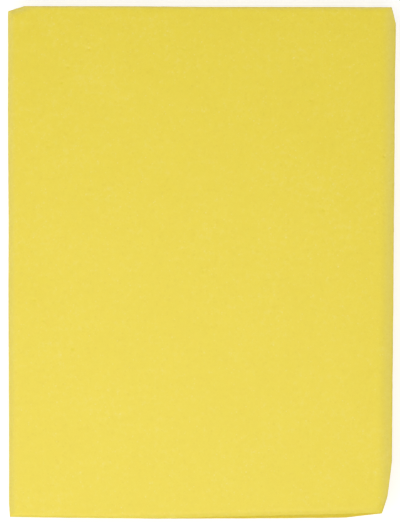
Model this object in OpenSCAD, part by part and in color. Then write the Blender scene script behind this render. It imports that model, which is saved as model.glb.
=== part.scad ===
// Cleaning sponge: one slab of fine-pored yellow foam, cut from a larger sheet with a knife.
// Its sides are straight passes of the knife, so the slab is slightly out of square.
// X runs across the slab, Y from its front edge to its back edge, and Z is up.
// The origin is the middle of the underside.

/* [Slab] */
// Width between the outermost points of the left and right sides
width = 60.6; // [50:0.2:90]
// Length between the outermost points of the front and back edges
length = 80; // [65:0.5:120]
// Thickness of the slab
thickness = 15; // [10:0.5:30]

/* [Sides] */
// How far the left side runs in towards its front end
left_slant = 0.36; // [0.05:0.01:1]
// How far the right side runs in towards its front end
right_slant = 0.77; // [0.1:0.01:1.5]
// How far the back edge drops towards its right end
back_slant = 0.26; // [0.05:0.01:1]
// How far the front edge rises towards its left end
front_rise_left = 0.26; // [0.05:0.01:0.6]
// How far the front edge rises towards its right end
front_rise_right = 0.14; // [0.05:0.01:0.6]
// Distance of the lowest point of the front edge from the left side
front_low = 23.8; // [15:0.1:30]

/* [Leaning front cut] */
// Angle by which the right half of the front wall leans back towards the top
front_lean = 2.3; // [0.5:0.1:6]
// Angle by which that leaning cut turns away from the front edge
front_turn = 1.4; // [0.8:0.1:3]

/* [Corner nicks] */
// Back left nick, measured along the back edge
back_left_run = 2.56; // [1:0.02:6]
// Back left nick, measured along the left side
back_left_drop = 0.82; // [0.3:0.02:2]
// Back right nick, measured along the back edge
back_right_run = 0.64; // [0.3:0.02:2]
// Back right nick, measured along the right side
back_right_drop = 2.58; // [1:0.02:6]
// Front left nick, measured along the front edge
front_left_run = 0.14; // [0.06:0.02:1.5]
// Front left nick, measured along the left side
front_left_drop = 2.1; // [1:0.02:5]

/* [Pinched front right corner] */
// Length over which the front edge bends back before the corner
pinch_front_run = 5.4; // [3:0.01:10]
// How far the front edge has bent back at the corner
pinch_front_rise = 0.68; // [0.5:0.01:1.2]
// Width of the short cut that takes the tip off the corner
pinch_tip_run = 0.87; // [0.3:0.01:1.2]
// Length of that short cut along the right side
pinch_tip_rise = 2.63; // [1:0.01:4]
// How far the right side bends in before the corner
pinch_side_run = 0.68; // [0.4:0.01:1]
// Length over which the right side bends in before the corner
pinch_side_rise = 5.28; // [4:0.01:9]

/* [Softened edges] */
// Width of the soft roll along the top of the right side
right_roll = 2; // [0.5:0.05:4]
// Width of the soft roll along the top of the left side
left_roll = 1.1; // [0.5:0.05:4]
// Width of the soft roll along the top of the back edge
back_roll = 0.5; // [0.5:0.05:4]
// Width of the soft roll along the top of the front edge, left of its lowest point
front_left_roll = 0.5; // [0.5:0.05:4]
// Width of the soft roll along the rest of the front edge
front_right_roll = 0.9; // [0.5:0.05:4]
// Width of the soft roll round the nicked corners
corner_roll = 1.2; // [0.5:0.05:4]
// Fall of a soft roll for each millimetre of its width
roll_fall = 0.3; // [0.2:0.01:0.5]
// Radius where a soft roll turns down into the wall
top_edge_r = 0.25; // [0.15:0.05:0.45]
// Radius along the edges of the underside
under_edge_r = 0.5; // [0.2:0.05:2]

/* [Hidden] */
foam_yellow = [0.93, 0.85, 0.34];

// Outer limits of the outline
left_x = -width / 2;
right_x = width / 2;
front_y = -length / 2;
back_y = length / 2;

// How far the sheet that the slab is cut from reaches past it
blank_margin = 2;
// How far a knife pass runs on past what it cuts
overrun = 6;
// Flat strips in the arc of a soft roll, and in the arc of an edge
roll_steps = 6;
edge_steps = 4;

// Corners of the outline, anticlockwise from the back left one, as seen from above
back_left_end = [left_x + back_left_run, back_y];
left_top = [left_x, back_y - back_left_drop];
left_foot = [left_x + left_slant, front_y + front_rise_left + front_left_drop];
front_left_end = left_foot + [front_left_run, -front_left_drop];
front_lowest = [left_x + front_low, front_y];
right_top = [right_x, back_y - back_slant - back_right_drop];
back_right_end = right_top + [-back_right_run, back_right_drop];
pinch_front = [
    right_x - right_slant - pinch_side_run - pinch_tip_run - pinch_front_run,
    front_y + front_rise_right
];
pinch_corner = pinch_front + [pinch_front_run, pinch_front_rise];
pinch_tip = pinch_corner + [pinch_tip_run, pinch_tip_rise];
pinch_side = pinch_tip + [pinch_side_run, pinch_side_rise];

// The leaning front cut starts at the top of the front wall, reaches the foot of the wall where the
// pinch begins, and runs on over the pinch
lean_way = [cos(front_turn), sin(front_turn)];
lean_start = pinch_front - lean_way * thickness * tan(front_lean) / sin(front_turn);
lean_end = pinch_front + lean_way * pinch_front_run;

// Knife passes: where each starts and ends, its lean, and the width of the soft roll above it
knife_passes = [
    [back_left_end, left_top, 0, corner_roll],
    [left_top, left_foot, 0, left_roll],
    [left_foot, front_left_end, 0, left_roll],
    [front_left_end, front_lowest, 0, front_left_roll],
    [front_lowest, pinch_front, 0, front_right_roll],
    [lean_start, lean_end, front_lean, front_right_roll],
    [pinch_front, pinch_corner, 0, front_right_roll],
    [pinch_corner, pinch_tip, 0, corner_roll],
    [pinch_tip, pinch_side, 0, corner_roll],
    [pinch_side, right_top, 0, right_roll],
    [right_top, back_right_end, 0, corner_roll],
    [back_right_end, back_left_end, 0, back_roll]
];

// The section of a wall is drawn with X as the distance in from the side and Y as the height.
// These turn a distance in from the leaning wall, and a distance up along it, into that section.
function in_section(inward, up, lean) =
    [inward * cos(lean) + up * sin(lean), up * cos(lean) - inward * sin(lean)];
function from_wall(point, lean) = point.x * cos(lean) - point.y * sin(lean);
function up_wall(point, lean) = point.x * sin(lean) + point.y * cos(lean);

// Radius of the arc that falls by roll_fall over the width of a soft roll
function roll_radius(roll) = roll * (1 + pow(roll_fall, 2)) / (2 * roll_fall);

// Points along an arc of the section, with its angles counted from straight up to the outside
function arc(centre, r, first, last, steps) =
    [for (i = [0:steps])
        let (a = first + (last - first) * i / steps)
            centre + r * [-sin(a), cos(a)]];

// What one pass takes off: all that lies outside its wall, its soft roll and its two edges
module offcut_section(lean, roll) {
    roll_r = roll_radius(roll);
    roll_centre = [thickness * tan(lean) + roll, thickness - roll_r];

    // The top edge arc meets the roll without a crease, and it touches the wall
    edge_reach = roll_r - top_edge_r;
    edge_aside = from_wall(roll_centre, lean) - top_edge_r;
    edge_up = up_wall(roll_centre, lean) + sqrt(pow(edge_reach, 2) - pow(edge_aside, 2));
    edge_centre = in_section(top_edge_r, edge_up, lean);
    edge_way = edge_centre - roll_centre;
    roll_turn = atan2(-edge_way.x, edge_way.y);
    wall_turn = 90 - lean;

    under_up = under_edge_r * (1 + sin(lean)) / cos(lean);
    under_centre = in_section(under_edge_r, under_up, lean);

    polygon(concat(
        [[roll_centre.x, thickness + overrun]],
        arc(roll_centre, roll_r, 0, roll_turn, roll_steps),
        arc(edge_centre, top_edge_r, roll_turn + (wall_turn - roll_turn) / edge_steps,
            wall_turn, edge_steps - 1),
        arc(under_centre, under_edge_r, wall_turn, 180, edge_steps),
        [[under_centre.x, -overrun]],
        [[-overrun, -overrun]],
        [[-overrun, thickness + overrun]]
    ));
}

// One pass of the knife along a side, from its start to its end and a little past both
module knife_pass(pass_start, pass_end, lean, roll) {
    way = pass_end - pass_start;
    translate(pass_start)
        rotate(atan2(way.y, way.x))
            translate([-overrun, 0])
                rotate([90, 0, 90])
                    linear_extrude(norm(way) + 2 * overrun)
                        offcut_section(lean, roll);
}

// The slab, with its sides cut
module sponge() {
    color(foam_yellow)
        difference() {
            translate([left_x - blank_margin, front_y - blank_margin, 0])
                cube([width + 2 * blank_margin, length + 2 * blank_margin, thickness]);
            for (pass = knife_passes)
                knife_pass(pass[0], pass[1], pass[2], pass[3]);
        }
}

sponge();
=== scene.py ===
"""A small yellow foam cleaning sponge, lying on a pale studio floor and seen from above.

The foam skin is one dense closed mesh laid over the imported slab, with the slow unevenness and the
roughness of cut foam in its shape. Cells too fine for the mesh are in the material.
"""
from math import radians

import bmesh
import bpy
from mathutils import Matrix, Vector, noise
from mathutils.bvhtree import BVHTree


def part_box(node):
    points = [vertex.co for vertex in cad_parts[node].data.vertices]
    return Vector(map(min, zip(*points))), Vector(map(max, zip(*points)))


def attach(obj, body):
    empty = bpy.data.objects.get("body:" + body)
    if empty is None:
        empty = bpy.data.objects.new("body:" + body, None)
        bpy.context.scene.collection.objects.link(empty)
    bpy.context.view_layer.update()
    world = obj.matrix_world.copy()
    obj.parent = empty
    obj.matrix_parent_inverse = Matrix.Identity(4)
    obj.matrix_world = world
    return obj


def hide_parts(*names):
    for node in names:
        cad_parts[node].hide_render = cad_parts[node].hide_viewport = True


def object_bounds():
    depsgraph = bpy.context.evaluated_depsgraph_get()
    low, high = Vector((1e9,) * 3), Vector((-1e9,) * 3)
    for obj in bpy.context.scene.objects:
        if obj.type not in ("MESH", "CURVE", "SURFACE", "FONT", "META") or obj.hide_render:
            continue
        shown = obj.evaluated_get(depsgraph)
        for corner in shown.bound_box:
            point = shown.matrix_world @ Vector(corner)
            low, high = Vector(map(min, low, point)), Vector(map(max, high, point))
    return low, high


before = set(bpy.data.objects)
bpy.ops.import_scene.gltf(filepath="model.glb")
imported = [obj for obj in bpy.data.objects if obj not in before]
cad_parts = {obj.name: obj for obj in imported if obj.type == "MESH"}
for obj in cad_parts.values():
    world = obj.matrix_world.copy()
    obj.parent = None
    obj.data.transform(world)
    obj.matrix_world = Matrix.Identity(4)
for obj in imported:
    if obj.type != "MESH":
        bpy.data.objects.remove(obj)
cad_low, cad_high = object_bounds()

MM = 0.001

# Skin: how far apart its lattice lines lie, and how far in the core lies that it grows from
LATTICE = 0.44 * MM
CORE_INSET = 3.0 * MM

# The lattice is finer along the top edges, in a band on both faces, and finer again at the top ends
# of the upright corners
EDGE_BAND = 1.3 * MM
CORNER_REACH = 3.0 * MM
CORNER_HEIGHT = 3.0 * MM

# A corner of a face that is wider than this counts as straight
STRAIGHT = radians(175)

# Open pores in the top face: place, as shares of half the width and length, and depth in millimetres.
# PORE_REACH is their radius.
PORES = (
    (-0.66, -0.34, 0.07), (0.94, 0.41, 0.11), (-0.58, 0.83, 0.08), (-0.69, 0.76, 0.06),
    (-0.72, 0.70, 0.05), (-0.09, 0.83, 0.06), (0.56, 0.63, 0.06), (-0.79, 0.45, 0.06),
    (0.63, 0.20, 0.05), (0.63, 0.08, 0.05), (0.01, -0.04, 0.06), (-0.86, -0.15, 0.06),
    (-0.81, -0.23, 0.07),
)
PORE_REACH = 0.36 * MM

# Relief of the cut foam: size of its features, and how deep they go
SLOW_SIZE, SLOW_DEPTH = 16 * MM, 0.12 * MM
MID_SIZE, MID_DEPTH = 3.2 * MM, 0.04 * MM
CELL_SIZE, CELL_DEPTH = 1.0 * MM, 0.03 * MM
MEAN_DEPTH = (SLOW_DEPTH + MID_DEPTH + CELL_DEPTH) / 2

# Mesh attribute that is 1 on the cut sides and the underside, and 0 on the top face. It changes
# between these upward parts of the normal.
WALL_NAME = "wall"
WALL_NORMAL, TOP_NORMAL = 0.25, 0.75

# Mesh attribute of the painted sheen on the rolled top edge, a paler colour standing in for the light
# that the roll reflects: 1 at the top of the roll, falling to 0 where the face turns level and further
# down the wall. Along the front edge, which is less pale in the photo, it is FRONT_EDGE times that.
EDGE_SHEEN_NAME = "edge"
EDGE_REACH = 1.2 * MM
EDGE_SLOPE = 0.06
FRONT_EDGE = 0.5


def core_point(point, low, high):
    """The point of the core that is nearest to a point. The core is the box from low to high, inset."""
    return Vector([
        min(max(p, a + CORE_INSET), b - CORE_INSET) for p, a, b in zip(point, low, high)
    ])


def box_lattice(low, high, spacing):
    """A closed box mesh of small quads, in a new bmesh."""
    size = [b - a for a, b in zip(low, high)]
    steps = [max(2, round(s / spacing)) for s in size]
    bm = bmesh.new()
    seen = {}

    def vert(i, j, k):
        key = (i, j, k)
        if key not in seen:
            at = [a + s * n / m for a, s, n, m in zip(low, size, key, steps)]
            seen[key] = bm.verts.new(at)
        return seen[key]

    for axis in range(3):
        u, v = (axis + 1) % 3, (axis + 2) % 3
        for end in (0, steps[axis]):
            for a in range(steps[u]):
                for b in range(steps[v]):
                    ring = []
                    for da, db in ((0, 0), (1, 0), (1, 1), (0, 1)):
                        key = [0, 0, 0]
                        key[axis], key[u], key[v] = end, a + da, b + db
                        ring.append(vert(*key))
                    bm.faces.new(ring if end else ring[::-1])
    return bm


def open_pores(low, high):
    """The place on the top face and the depth of each open pore."""
    middle, half = (low + high) / 2, (high - low) / 2
    return [(Vector((middle.x + x * half.x, middle.y + y * half.y, high.z)), depth * MM)
            for x, y, depth in PORES]


def side_gaps(at, low, high):
    """How far a point is from the nearer side of the slab in X, and in Y."""
    return [min(at[axis] - low[axis], high[axis] - at[axis]) for axis in (0, 1)]


def refine(bm, wanted):
    """Makes the lattice twice as fine where wanted says so of the middle of an edge."""
    edges = [e for e in bm.edges if wanted((e.verts[0].co + e.verts[1].co) / 2)]
    bmesh.ops.subdivide_edges(bm, edges=edges, cuts=1, use_grid_fill=True)


def refine_pores(bm, pores):
    """Cuts the lattice finer round each open pore, and once more closer in."""
    for margin in (LATTICE, LATTICE / 2):
        reach = PORE_REACH + margin
        refine(bm, lambda at: any((at - place).length < reach for place, depth in pores))


def refine_edges(bm, low, high):
    """Cuts the lattice finer along the top edges, and once more at the corners."""

    def on_edge(at):
        return high.z - at.z < EDGE_BAND and min(side_gaps(at, low, high)) < EDGE_BAND

    def on_corner(at):
        return high.z - at.z < CORNER_HEIGHT and max(side_gaps(at, low, high)) < CORNER_REACH

    refine(bm, on_edge)
    refine(bm, on_corner)


def fan_borders(bm):
    """Makes a fan of each face with a straight corner, which a finer part has at its border."""
    faces = [f for f in bm.faces if max(loop.calc_angle() for loop in f.loops) > STRAIGHT]
    bmesh.ops.poke(bm, faces=faces)


def lay_on(bm, solid, low, high):
    """Moves each vertex along a ray from the core onto the solid."""
    tree = BVHTree.FromObject(solid, bpy.context.evaluated_depsgraph_get())
    for v in bm.verts:
        core = core_point(v.co, low, high)
        hit = tree.ray_cast(core, (v.co - core).normalized())[0]
        if hit is not None:
            v.co = hit


def pore_depth(at, pores):
    """Depth of the open pores at a point: a shallow round dimple at each."""
    return sum(
        depth * max(0.0, 1 - ((at - place).length / PORE_REACH) ** 2) ** 2
        for place, depth in pores
    )


def relief(at, normal):
    """Depth of the foam's relief, about an even mean. The underside has none that stands proud."""
    slow = 0.5 + 0.5 * noise.noise(at / SLOW_SIZE)
    mid = 0.5 + 0.5 * noise.noise(at / MID_SIZE)
    cell = 1 - min(1.0, noise.voronoi(at / CELL_SIZE)[0][0])
    depth = SLOW_DEPTH * slow + MID_DEPTH * mid + CELL_DEPTH * cell
    return depth - MEAN_DEPTH * (1 + min(0.0, normal.z))


def wall_share(vert):
    """How much a vertex belongs to the cut sides or the underside, from its slope."""
    return max(0.0, min(1.0, (TOP_NORMAL - vert.normal.z) / (TOP_NORMAL - WALL_NORMAL)))


def edge_share(vert, low, high):
    """How much painted sheen a vertex gets on the rolled top edge, from its slope and its place."""
    inner = min(side_gaps(vert.co, low, high)) > CORE_INSET
    slope = max(0.0, min(1.0, (1 - vert.normal.z) / EDGE_SLOPE)) ** 0.5
    near = max(0.0, 1 - (high[2] - vert.co.z) / EDGE_REACH)
    front = vert.co.y - low.y < min(vert.co.x - low.x, high.x - vert.co.x)
    return 0.0 if inner else slope * near * (FRONT_EDGE if front else 1)


def foam_skin():
    """The sponge's visible mesh."""
    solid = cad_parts["sponge"]
    low, high = [Vector(end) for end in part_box("sponge")]
    pores = open_pores(low, high)
    bm = box_lattice(low, high, LATTICE)
    refine_pores(bm, pores)
    refine_edges(bm, low, high)
    fan_borders(bm)
    lay_on(bm, solid, low, high)
    bmesh.ops.recalc_face_normals(bm, faces=bm.faces)
    bm.normal_update()
    # How much painted sheen each vertex gets, along the rolled top edge
    edges = [edge_share(v, low, high) for v in bm.verts]
    walls = [wall_share(v) for v in bm.verts]
    depths = [relief(v.co, v.normal) + pore_depth(v.co, pores) for v in bm.verts]
    for v, depth in zip(bm.verts, depths):
        v.co -= v.normal * depth
    mesh = bpy.data.meshes.new("foam_skin")
    bm.to_mesh(mesh)
    bm.free()
    mesh.polygons.foreach_set("use_smooth", [True] * len(mesh.polygons))
    mesh.attributes.new(EDGE_SHEEN_NAME, "FLOAT", "POINT").data.foreach_set("value", edges)
    mesh.attributes.new(WALL_NAME, "FLOAT", "POINT").data.foreach_set("value", walls)
    skin = bpy.data.objects.new("foam_skin", mesh)
    bpy.context.scene.collection.objects.link(skin)
    return skin


def grey(value):
    """A grey as a colour."""
    return (value, value, value, 1)


class Nodes:
    """Short calls that add nodes to the tree of a material or a world."""

    def __init__(self, owner):
        owner.use_nodes = True
        self.tree = owner.node_tree
        self.tree.nodes.clear()

    def add(self, kind, settings, inputs):
        """A node of that kind. Each input is named or numbered, and is set to a value or a socket."""
        node = self.tree.nodes.new(kind)
        for name, value in settings.items():
            setattr(node, name, value)
        for key, value in inputs.items():
            if isinstance(value, bpy.types.NodeSocket):
                self.tree.links.new(value, node.inputs[key])
            else:
                node.inputs[key].default_value = value
        return node

    def math(self, operation, a, b, clamp=False):
        """The result of an operation on two values, kept between 0 and 1 where clamp is set."""
        settings = {"operation": operation, "use_clamp": clamp}
        return self.add("ShaderNodeMath", settings, {0: a, 1: b}).outputs[0]

    def total(self, *parts):
        """The sum of several values."""
        value = parts[0]
        for part in parts[1:]:
            value = self.math("ADD", value, part)
        return value

    def between(self, value, low, high):
        """0 where value is low, 1 where it is high, smooth between them."""
        settings = {"interpolation_type": "SMOOTHSTEP"}
        inputs = {"Value": value, "From Min": low, "From Max": high}
        return self.add("ShaderNodeMapRange", settings, inputs).outputs["Result"]

    def mix(self, factor, a, b):
        """Colour a where factor is 0, and b where it is 1."""
        # The Mix node has a set of sockets for each kind of data. These are the ones for colours.
        inputs = {0: factor, 6: a, 7: b}
        return self.add("ShaderNodeMix", {"data_type": "RGBA"}, inputs).outputs[2]


# Foam material: the colours of the top face, of the painted sheen on its rolled edge and of the walls,
# which are partly painted shade, and the two that the patterns lead to
FOAM_YELLOW = (0.804, 0.655, 0.051, 1)
FOAM_EDGE_SHEEN = (0.787, 0.662, 0.145, 1)
# Walls: a deeper ochre for the cut sides and underside, darkened further as painted shade
FOAM_WALL_SHADE = (0.78, 0.585, 0.028, 1)
# Ochre: painted shade in the pits of the cells and pores, and the darker side of the mottle and grain
FOAM_OCHRE = (0.60, 0.42, 0.024, 1)
# Pale: the colour of the painted glints, and of the paler side of the patterns
FOAM_PALE = (0.86, 0.76, 0.25, 1)

# Patterns: cells or grains for each millimetre, and how far each leads from the yellow to the ochre.
# The darker middles of the fine and wide cells are painted shade in their pits; mottle and grain are
# tone that differs at random. The noises of mottle and grain go both ways, and have this detail.
FINE_CELLS, FINE_SHADE = 2.6, 0.035
WIDE_CELLS, WIDE_SHADE = 0.8, 0.06
MOTTLE_PER_MM, MOTTLE_DETAIL, MOTTLE_SHADE = 0.12, 3.0, 0.08
GRAIN_PER_MM, GRAIN_DETAIL, GRAIN_SHADE = 1.2, 4.0, 0.19

# How far the oddest fine cells lead either way. Most lead nearly nowhere.
FINE_SPREAD = 0.12

# Where the patterns add up to less than nothing, this many times as much leads to the pale colour
PALE_SHARE = 4.0

# Painted glints, highlights of the cell walls put into the colour: cells for each millimetre, how far
# the strongest leads to the pale colour, and the power of the random number that makes strong ones rare
GLINT_CELLS, GLINT_SHARE, GLINT_POWER = 1.6, 0.8, 24.0

# Spot in each cell: the distances from the cell's middle, in cells, at which it begins and is full
FINE_SPOT = (0.75, 0.15)
SPREAD_SPOT = (0.60, 0.10)
WIDE_SPOT = (0.34, 0.08)
GLINT_SPOT = (0.22, 0.08)

# Random number up to which a wide cell stays empty, and the one from which its spot is full
WIDE_CHANCE = (0.62, 0.75)

# The knife opens more cells in the sides, so what leads to the ochre is this many times as strong
# there, and so are the pits
WALL_STRENGTH = 4.5

# Pits of the cells, as bump: how deep a fine one is beside a wide one, and the bump's own values
FINE_PIT = 0.5
BUMP_STRENGTH, BUMP_DEPTH = 0.35, 0.06 * MM

# Shine of the cell walls: a thin broken film, so it is weak at every angle
FILM_SHARE, FILM_IOR, FILM_ROUGHNESS = 0.045, 4.0, 0.38

# Light that sinks in and comes out again: its share, and how far red, green and blue go, as shares
# of SUNK_REACH
SUNK_SHARE = 0.25
SUNK_COLOURS = (1.0, 0.8, 0.3)
SUNK_REACH = 0.6 * MM


def foam_material():
    """Fine-pored yellow foam: small cells, a few larger pores, rare painted glints, and painted sheen
    on rolled edges.
    """
    material = bpy.data.materials.new("yellow_foam")
    n = Nodes(material)
    place = n.add("ShaderNodeTexCoord", {}, {}).outputs["Object"]
    to_mm = {0: place, "Scale": 1 / MM}
    at = n.add("ShaderNodeVectorMath", {"operation": "SCALE"}, to_mm).outputs[0]

    def cells(per_mm):
        """Distance from the middle of each cell, and a random number for each cell."""
        node = n.add("ShaderNodeTexVoronoi", {}, {"Vector": at, "Scale": per_mm})
        parts = n.add("ShaderNodeSeparateColor", {}, {0: node.outputs["Color"]})
        return node.outputs["Distance"], parts.outputs[0]

    def cloud(per_mm, detail):
        """Soft noise round 0."""
        inputs = {"Vector": at, "Scale": per_mm, "Detail": detail}
        return n.math("SUBTRACT", n.add("ShaderNodeTexNoise", {}, inputs).outputs["Fac"], 0.5)

    # The random number of each fine cell is taken from -1 to 1. Its cube is near 0 for most cells.
    reach, chance = cells(FINE_CELLS)
    fine = n.between(reach, *FINE_SPOT)
    either_way = n.math("SUBTRACT", n.math("MULTIPLY", chance, 2.0), 1.0)
    oddness = n.math("MULTIPLY", n.math("MULTIPLY", either_way, either_way), either_way)
    spread = n.math("MULTIPLY", n.between(reach, *SPREAD_SPOT), oddness)
    reach, chance = cells(WIDE_CELLS)
    wide = n.math("MULTIPLY", n.between(reach, *WIDE_SPOT), n.between(chance, *WIDE_CHANCE))
    # Painted glints: rare cells turned towards the pale colour, as highlights of the cell walls
    reach, chance = cells(GLINT_CELLS)
    brightness = n.math("MULTIPLY", n.math("POWER", chance, GLINT_POWER), GLINT_SHARE)
    painted_glint = n.math("MULTIPLY", n.between(reach, *GLINT_SPOT), brightness)

    edge = n.add("ShaderNodeAttribute", {"attribute_name": EDGE_SHEEN_NAME}, {}).outputs["Fac"]
    wall = n.add("ShaderNodeAttribute", {"attribute_name": WALL_NAME}, {}).outputs["Fac"]
    strength = n.total(n.math("MULTIPLY", wall, WALL_STRENGTH - 1), 1.0)
    shade = n.total(
        n.math("MULTIPLY", fine, FINE_SHADE),
        n.math("MULTIPLY", spread, FINE_SPREAD),
        n.math("MULTIPLY", wide, WIDE_SHADE),
        n.math("MULTIPLY", cloud(MOTTLE_PER_MM, MOTTLE_DETAIL), MOTTLE_SHADE),
        n.math("MULTIPLY", cloud(GRAIN_PER_MM, GRAIN_DETAIL), GRAIN_SHADE),
    )
    # The cut sides and underside take the wall colour, which is partly painted shade
    colour = n.mix(wall, FOAM_YELLOW, FOAM_WALL_SHADE)
    # Painted sheen: the rolled top edge turns paler
    colour = n.mix(edge, colour, FOAM_EDGE_SHEEN)
    # Towards the ochre: painted shade in the cell pits, and the darker side of the random mottle and
    # grain
    colour = n.mix(n.math("MULTIPLY", shade, strength, clamp=True), colour, FOAM_OCHRE)
    colour = n.mix(n.math("MULTIPLY", shade, -PALE_SHARE, clamp=True), colour, FOAM_PALE)
    # Painted highlight: the glints
    colour = n.mix(painted_glint, colour, FOAM_PALE)

    pits = n.math("MULTIPLY", n.total(n.math("MULTIPLY", fine, FINE_PIT), wide), strength)
    shape = {"Height": pits, "Strength": BUMP_STRENGTH, "Distance": BUMP_DEPTH}
    bump = n.add("ShaderNodeBump", {"invert": True}, shape)
    shader = n.add("ShaderNodeBsdfPrincipled", {}, {
        "Base Color": colour,
        "Normal": bump.outputs[0],
        "Specular IOR Level": 0.0,
        "Coat Weight": FILM_SHARE,
        "Coat IOR": FILM_IOR,
        "Coat Roughness": FILM_ROUGHNESS,
        "Subsurface Weight": SUNK_SHARE,
        "Subsurface Radius": SUNK_COLOURS,
        "Subsurface Scale": SUNK_REACH,
    })
    n.add("ShaderNodeOutputMaterial", {}, {"Surface": shader.outputs[0]})
    return material


# Floor: a disc so wide that its rim looks like a horizon
FLOOR_RADIUS = 12
FLOOR_SIDES = 96

# Floor material: a matte grey, lit a little from below as a light table is, which keeps the shadows
# on it pale
FLOOR_GREY = 0.50
FLOOR_ROUGHNESS = 0.9
FLOOR_SPECULAR = 0.1
FLOOR_GLOW = 0.67


def floor_material():
    """Plain pale floor."""
    material = bpy.data.materials.new("pale_floor")
    material.use_nodes = True
    shader = material.node_tree.nodes["Principled BSDF"]
    shader.inputs["Base Color"].default_value = grey(FLOOR_GREY)
    shader.inputs["Roughness"].default_value = FLOOR_ROUGHNESS
    shader.inputs["Specular IOR Level"].default_value = FLOOR_SPECULAR
    shader.inputs["Emission Color"].default_value = grey(1.0)
    shader.inputs["Emission Strength"].default_value = FLOOR_GLOW
    return material


def make_floor():
    """A wide flat disc under the sponge."""
    bpy.ops.mesh.primitive_circle_add(
        vertices=FLOOR_SIDES, radius=FLOOR_RADIUS, fill_type="NGON", location=(0, 0, 0)
    )
    floor = bpy.context.object
    floor.name = "floor"
    floor.data.materials.append(floor_material())


# Studio sky: as bright as the far floor where they meet, and dimmer higher up. It is dimmest from
# SKY_FROM up, a height on a sphere of radius 1.
HORIZON_LIGHT, SKY_LIGHT = 0.85, 0.35
SKY_FROM = 0.35


def make_world():
    """An even pale studio all round, like the inside of a white cove."""
    world = bpy.data.worlds.new("studio")
    bpy.context.scene.world = world
    n = Nodes(world)
    place = n.add("ShaderNodeTexCoord", {}, {}).outputs["Generated"]
    height = n.add("ShaderNodeSeparateXYZ", {}, {0: place}).outputs["Z"]
    light = n.mix(n.between(height, 0.0, SKY_FROM), grey(HORIZON_LIGHT), grey(SKY_LIGHT))
    background = n.add("ShaderNodeBackground", {}, {"Color": light, "Strength": 1.0})
    n.add("ShaderNodeOutputWorld", {}, {"Surface": background.outputs[0]})


# Key light: its diameter and place in metres, and its power in watts
KEY_SIZE = 0.25
KEY_PLACE = (-0.040, -0.065, 0.36)
KEY_POWER = 0.93


def make_key_light():
    """A large soft light above, a little in front and to the left."""
    lamp = bpy.data.lights.new("key", "AREA")
    lamp.shape = "DISK"
    lamp.size = KEY_SIZE
    lamp.energy = KEY_POWER
    key = bpy.data.objects.new("key", lamp)
    key.location = KEY_PLACE
    key.visible_camera = False
    key.rotation_euler = (-Vector(key.location)).to_track_quat("-Z", "Y").to_euler()
    bpy.context.scene.collection.objects.link(key)


# Camera: above the front edge, so that it looks along the plumb part of the front wall. Its height
# is counted from the top face, in metres, and its sensor in millimetres.
CAMERA_HEIGHT = 0.70
SENSOR = 36.0
FARTHEST_SEEN = 100

# The photo's size, and the length and the middle of the slab in it, in pixels
PHOTO_SIZE = (400, 523)
SLAB_HEIGHT_PX = 514.0
SLAB_CENTRE_PX = (201.85, 261.3)


def make_camera():
    """A camera that frames the sponge as the photo does, from just above its front edge."""
    top = cad_high[2]
    px = (cad_high[1] - cad_low[1]) / SLAB_HEIGHT_PX
    aim = Vector((
        (PHOTO_SIZE[0] / 2 - SLAB_CENTRE_PX[0]) * px,
        (SLAB_CENTRE_PX[1] - PHOTO_SIZE[1] / 2) * px,
        top,
    ))
    data = bpy.data.cameras.new("camera")
    camera = bpy.data.objects.new("camera", data)
    camera.location = (aim.x, cad_low[1], top + CAMERA_HEIGHT)
    view = aim - camera.location
    camera.rotation_euler = view.to_track_quat("-Z", "Y").to_euler()
    data.sensor_fit = "VERTICAL"
    data.sensor_height = SENSOR
    data.sensor_width = SENSOR
    data.lens = SENSOR * view.length / (PHOTO_SIZE[1] * px)
    data.clip_end = FARTHEST_SEEN
    bpy.context.scene.collection.objects.link(camera)
    bpy.context.scene.camera = camera


make_camera()
skin = foam_skin()
skin.data.materials.append(foam_material())
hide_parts("sponge")
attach(skin, "root")
make_floor()
make_world()
make_key_light()
bpy.context.scene.view_settings.view_transform = "Standard"
